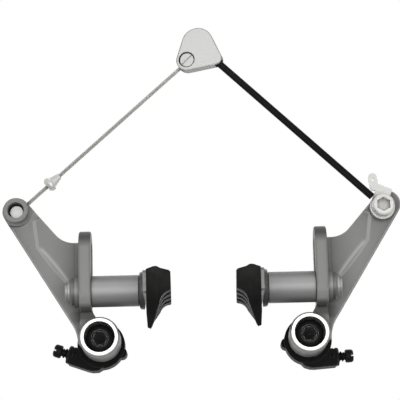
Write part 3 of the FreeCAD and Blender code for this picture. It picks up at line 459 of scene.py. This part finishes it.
def make_finishes():
    arm_material()
    rubber_material()
    turned_metal("bush_steel", (0.62, 0.61, 0.60), 0.3, "Y")
    turned_metal("spring_steel", (0.55, 0.55, 0.55), 0.3, "Y")
    turned_metal("washer_chrome", (0.15, 0.15, 0.15), 0.26, "X")
    turned_metal("spacer_metal", (0.56, 0.56, 0.56), 0.36, "X")
    turned_metal("washer_gray", (0.42, 0.42, 0.41), 0.34, "X")
    turned_metal("washer_dark", (0.30, 0.30, 0.30), 0.36, "X")
    turned_metal("nut_chrome", (0.66, 0.66, 0.65), 0.28, "X")
    # Black bolts: lighter edges, partly wear and partly a painted highlight.
    metal("black_bolt", (0.018, 0.018, 0.019), 0.34, 0.0, edge_wear_and_highlight=1.0, edge_wear_and_highlight_colour=(1.0, 1.0, 0.98),
          specular=0.08, edge=0.00018)
    metal("black_screw", (0.014, 0.014, 0.015), 0.32, 0.0, edge_wear_and_highlight=0.25, edge_wear_and_highlight_colour=(0.16, 0.16, 0.16),
          specular=0.06)
    metal("stud_steel", (0.22, 0.22, 0.215), 0.32)
    metal("wire_steel", (0.78, 0.77, 0.73), 0.50, 0.20, specular=0.2)
    metal("bead_metal", (0.82, 0.82, 0.81), 0.40, 0.35, hollow=0.0012)
    # The link: painted shade on faces turned up or aside from the front.
    metal("link_metal", (0.94, 0.94, 0.93), 0.42, 0.04, mottle=0.01, specular=0.1, grain_depth=0.000006,
          painted_shade_tone=0.15)
    metal("anchor_nickel", (0.90, 0.89, 0.86), 0.28, edge_wear_and_highlight=0.3, mottle=0.12, hollow=0.0034,
          grain_depth=0.000006)
    resin_material("black_resin", (0.008, 0.008, 0.008), 0.45)
    resin_material("hose_black", (0.013, 0.013, 0.0135), 0.34, 2500, 0.0)


def dress_nodes():
    slot_of = {entry["node"]: entry["material_slot"] for entry in frame["record"]["subparts"]}
    for name, obj in frame["nodes"].items():
        obj.data.materials.clear()
        obj.data.materials.append(materials[slot_of[name]])
        for polygon in obj.data.polygons:
            polygon.material_index = 0


# Pieces in finer detail than the plain solids: threaded screws, collars and the stranded wire

def closed_mesh(name, vertices, faces):
    mesh = bpy.data.meshes.new(name)
    mesh.from_pydata([Vector(v) * MM for v in vertices], [], faces)
    whole = bmesh.new()
    whole.from_mesh(mesh)
    bmesh.ops.recalc_face_normals(whole, faces=whole.faces)
    whole.to_mesh(mesh)
    whole.free()
    return mesh


def finish_mesh(piece, sharp=35.0):
    for polygon in piece.data.polygons:
        polygon.use_smooth = True
    piece.data.set_sharp_from_angle(angle=math.radians(sharp))


def add_piece(name, vertices, faces, material, body, node, sharp=35.0):
    mesh = closed_mesh(name, vertices, faces)
    mesh.materials.append(material)
    piece = bpy.data.objects.new(name, mesh)
    bpy.context.scene.collection.objects.link(piece)
    finish_mesh(piece, sharp)
    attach(piece, body)
    if node:
        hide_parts(node)
    return piece


def ring(centre, u, v, radius_at, around):
    """Points round a centre, in the plane of u and v."""
    points = []
    for j in range(around):
        angle = FULL_TURN * j / around
        points.append(centre + (u * math.cos(angle) + v * math.sin(angle)) * radius_at(angle))
    return points


def skin(rings, looped=False):
    """Faces from ring to ring. Looped, the last meets the first; otherwise either end has a cap."""
    around = len(rings[0])
    count = len(rings)
    faces = []
    for i in range(count if looped else count - 1):
        here = i * around
        there = (i + 1) % count * around
        for j in range(around):
            k = (j + 1) % around
            faces.append((here + j, here + k, there + k, there + j))
    if not looped:
        faces.append(tuple(reversed(range(around))))
        faces.append(tuple((count - 1) * around + j for j in range(around)))
    return [point for points in rings for point in points], faces


def carve_slot(piece, centre, u, v, axis, half_width, half_length, depth):
    corners = [centre + u * (a * half_length) + v * (b * half_width) + axis * c
               for a in (-1, 1) for b in (-1, 1) for c in (-depth, 1.0)]
    sides = [(0, 1, 3, 2), (4, 6, 7, 5), (0, 4, 5, 1), (2, 3, 7, 6), (0, 2, 6, 4), (1, 5, 7, 3)]
    tool = bpy.data.objects.new("slot_tool", closed_mesh("slot_tool", corners, sides))
    bpy.context.scene.collection.objects.link(tool)
    cut = piece.modifiers.new("slot", "BOOLEAN")
    cut.operation = "DIFFERENCE"
    cut.object = tool
    cut.solver = "EXACT"
    graph = bpy.context.evaluated_depsgraph_get()
    carved = bpy.data.meshes.new_from_object(piece.evaluated_get(graph))
    piece.modifiers.clear()
    piece.data = carved
    bpy.data.objects.remove(tool)


# Distances along a tension screw's axis start at its foot, below the stud axis.
# Outlines are pairs of distance and radius.
SCREW_DROP = 7.9
SCREW_Y = -3.95
COLLAR_OUTLINE = [(7.9, 2.6), (7.95, 3.35), (8.25, 3.52), (9.35, 3.52), (9.6, 3.30), (9.85, 3.28),
                  (10.1, 3.50), (10.35, 3.58), (11.0, 3.55), (11.35, 3.25), (11.45, 2.85), (11.45, 2.2),
                  (8.0, 2.2)]
HEAD_OUTLINE = [(13.7, 1.45), (13.9, 2.25), (14.1, 2.50), (14.4, 2.55), (15.9, 2.55), (16.4, 2.47),
                (16.8, 2.25), (17.0, 1.95), (17.1, 1.5)]
THREAD_START = 5.2
THREAD_END = 13.6
THREAD_STEP = 0.1
THREAD_ROWS = 85
THREAD_PITCH = 1.25
THREAD_RUNOUT = 0.5
CORE_RADIUS = 1.42
TOOTH_HEIGHT = 0.60
SLOT_HALF_WIDTH = 0.4
SLOT_HALF_LENGTH = 3.2
SLOT_DEPTH = 1.1


def screw_frame(side):
    slope = math.radians(SCREW_SLOPE[side])
    sign = -1 if side == "left" else 1
    axis = Vector((sign * math.cos(slope), 0, math.sin(slope)))
    foot = Vector((sign * (PIVOT_X + SCREW_DROP * math.sin(slope)), SCREW_Y, -SCREW_DROP * math.cos(slope)))
    u = Vector((0, 1, 0))
    v = Vector((-sign * math.sin(slope), 0, math.cos(slope)))
    return foot, axis, u, v


def screw_collar(side):
    """Two rounded rings moulded round the end of the spring cover's boss."""
    foot, axis, u, v = screw_frame(side)
    rings = [ring(foot + axis * s, u, v, lambda angle: radius, 48) for s, radius in COLLAR_OUTLINE]
    vertices, faces = skin(rings, looped=True)
    piece = add_piece(side + "_cover_collar", vertices, faces, materials["black_resin"],
                      side + "_arm", None)


def thread_radius(s, angle):
    share = (s / THREAD_PITCH - angle / FULL_TURN) % 1.0
    tooth = min(1.0, max(0.0, 1.7 * (1 - abs(2 * share - 1)) - 0.35))
    fade = min(1.0, max(0.0, (THREAD_END - s) / THREAD_RUNOUT),
               max(0.0, (s - THREAD_START) / THREAD_RUNOUT))
    return CORE_RADIUS + TOOTH_HEIGHT * tooth * fade


def tension_screw(side):
    """Coarse thread, necked under a rounded head that has a screwdriver slot."""
    foot, axis, u, v = screw_frame(side)
    around = 36
    rows = [THREAD_START + THREAD_STEP * i for i in range(THREAD_ROWS)]
    rings = [ring(foot + axis * s, u, v, lambda angle: thread_radius(s, angle), around) for s in rows]
    rings += [ring(foot + axis * s, u, v, lambda angle: radius, around) for s, radius in HEAD_OUTLINE]
    vertices, faces = skin(rings)
    piece = add_piece(side + "_screw_threaded", vertices, faces, materials["black_screw"],
                      side + "_tension_screw", side + "_tension_screw")
    head_end = HEAD_OUTLINE[-1][0]
    carve_slot(piece, foot + axis * head_end, u, v, axis, SLOT_HALF_WIDTH, SLOT_HALF_LENGTH, SLOT_DEPTH)
    finish_mesh(piece)


# The link wire between the centres of its two ends, and its strands
WIRE_START = Vector((-72.5, -9.55, 51.4))
WIRE_END = Vector((-4.2, -10.0, 112.1))
INSIDE_NIPPLE = 2.3
INSIDE_BARREL = 2.5
WIRE_CORE_RADIUS = 0.50
STRANDS = 12
STRAND_RADIUS = 0.155
STRAND_ORBIT = 0.59
STRAND_LAY = 10.0
STRAND_STEPS = 190


def stranded_wire():
    """A core with twelve strands laid round it."""
    way = (WIRE_END - WIRE_START).normalized()
    first = WIRE_START + way * INSIDE_NIPPLE
    last = WIRE_END - way * INSIDE_BARREL
    length = (last - first).length
    u = way.cross(Vector((0, 1, 0))).normalized()
    v = way.cross(u)
    core = [ring(first + way * s, u, v, lambda angle: WIRE_CORE_RADIUS, 16) for s in (0, length)]
    vertices, faces = skin(core)
    for strand in range(STRANDS):
        rings = []
        for i in range(STRAND_STEPS + 1):
            s = length * i / STRAND_STEPS
            angle = FULL_TURN * s / STRAND_LAY + FULL_TURN * strand / STRANDS
            out = u * math.cos(angle) + v * math.sin(angle)
            round_way = v * math.cos(angle) - u * math.sin(angle)
            centre = first + way * s + out * STRAND_ORBIT
            rings.append(ring(centre, out, round_way, lambda angle: STRAND_RADIUS, 6))
        more, skins = skin(rings)
        base = len(vertices)
        vertices.extend(more)
        faces.extend([tuple(base + index for index in face) for face in skins])
    piece = add_piece("link_wire_strands", vertices, faces, materials["wire_steel"], "link_wire",
                      "link_wire", 60.0)


# Studio: white surroundings, pale floor out of view below, soft boxes

# Softly lit surroundings: an even glow and peaks, each with direction, sharpness and strength
GLOW = 0.05
PEAKS = [((0.0, -1.0, 0.0), 6.0, 0.35), ((-0.7, -0.4, 0.5), 4.0, 0.10), ((0.7, -0.3, 0.4), 4.0, 0.14),
         ((0.0, 1.0, -0.35), 5.0, 0.17), ((0.0, 1.0, 0.2), 2.0, 0.08)]
GLOW_COLOUR = (1.0, 0.995, 0.975, 1)

# Soft boxes: name, place, aim, width and height in metres, power in watts
SOFT_BOXES = [("front_box", (-0.02, -0.42, -0.025), (-0.02, 0.0, -0.025), 0.60, 0.28, 0.85),
              ("rear_top", (0.0, 0.35, 0.55), (0, -0.01, 0.05), 0.7, 0.4, 0.6),
              ("rear_fill", (0.0, 0.60, 0.12), (0, 0, 0.04), 0.6, 0.35, 0.3)]

FLOOR_HALF = 0.5
FLOOR_Z = -0.45
FLOOR_WHITENESS = 0.55


def add_lamp(data, place, aim):
    lamp = bpy.data.objects.new(data.name, data)
    bpy.context.scene.collection.objects.link(lamp)
    place = Vector(place)
    turn = (Vector(aim) - place).to_track_quat("-Z", "Y")
    lamp.matrix_world = Matrix.Translation(place) @ turn.to_matrix().to_4x4()
    return lamp


def soft_box(name, place, aim, width, height, power):
    data = bpy.data.lights.new(name, "AREA")
    data.shape = "RECTANGLE"
    data.size = width
    data.size_y = height
    data.energy = power
    add_lamp(data, place, aim).visible_camera = False


def link_spot():
    """A narrow lamp on the link."""
    data = bpy.data.lights.new("link_spot", "SPOT")
    data.energy = 2.2
    data.spot_size = math.radians(9.0)
    data.spot_blend = 0.6
    data.shadow_soft_size = 0.03
    add_lamp(data, (0.0, -0.55, 0.22), (0.0, -0.01, 0.116))


def make_surroundings():
    world = bpy.data.worlds.new("studio")
    bpy.context.scene.world = world
    g = Graph(world)
    g.tree.nodes.clear()
    strength = GLOW
    for way, sharpness, peak in PEAKS:
        towards = g.dot(g.node("ShaderNodeTexCoord").outputs["Generated"], Vector(way).normalized())
        lobe = g.math("POWER", g.math("MAXIMUM", towards, 0.0), sharpness)
        strength = g.add(g.product(lobe, peak), strength)
    soft = g.node("ShaderNodeBackground")
    soft.inputs["Color"].default_value = GLOW_COLOUR
    g.join(strength, soft.inputs["Strength"])
    white = g.node("ShaderNodeBackground")
    white.inputs["Color"].default_value = (1, 1, 1, 1)
    mix = g.node("ShaderNodeMixShader")
    g.join(g.seen_directly(), mix.inputs["Fac"])
    g.join(soft.outputs[0], mix.inputs[1])
    g.join(white.outputs[0], mix.inputs[2])
    g.join(mix.outputs[0], g.node("ShaderNodeOutputWorld").inputs["Surface"])


def make_floor():
    corners = [(a * FLOOR_HALF, b * FLOOR_HALF, FLOOR_Z) for a, b in ((-1, -1), (1, -1), (1, 1), (-1, 1))]
    mesh = bpy.data.meshes.new("floor")
    mesh.from_pydata(corners, [], [(0, 1, 2, 3)])
    floor = bpy.data.objects.new("floor", mesh)
    bpy.context.scene.collection.objects.link(floor)
    g = new_finish("floor_white")
    g.set("Base Color", g.mix(g.noise(6), (0.80, 0.80, 0.80), (0.84, 0.84, 0.84)))
    g.set("Roughness", g.patches(40, 3, 0.6, 0.75))
    g.set("Normal", g.bump(g.noise(300), 0.1, 0.0005))
    g.set("Emission Color", (1.0, 1.0, 1.0))
    g.set("Emission Strength", g.product(g.seen_directly(), FLOOR_WHITENESS))
    mesh.materials.append(materials["floor_white"])


make_camera()
bpy.context.scene.view_settings.view_transform = "Standard"
make_surroundings()
for box in SOFT_BOXES:
    soft_box(*box)
link_spot()
make_floor()
make_finishes()
dress_nodes()
for side in ("right", "left"):
    tension_screw(side)
for side in ("right", "left"):
    screw_collar(side)
stranded_wire()
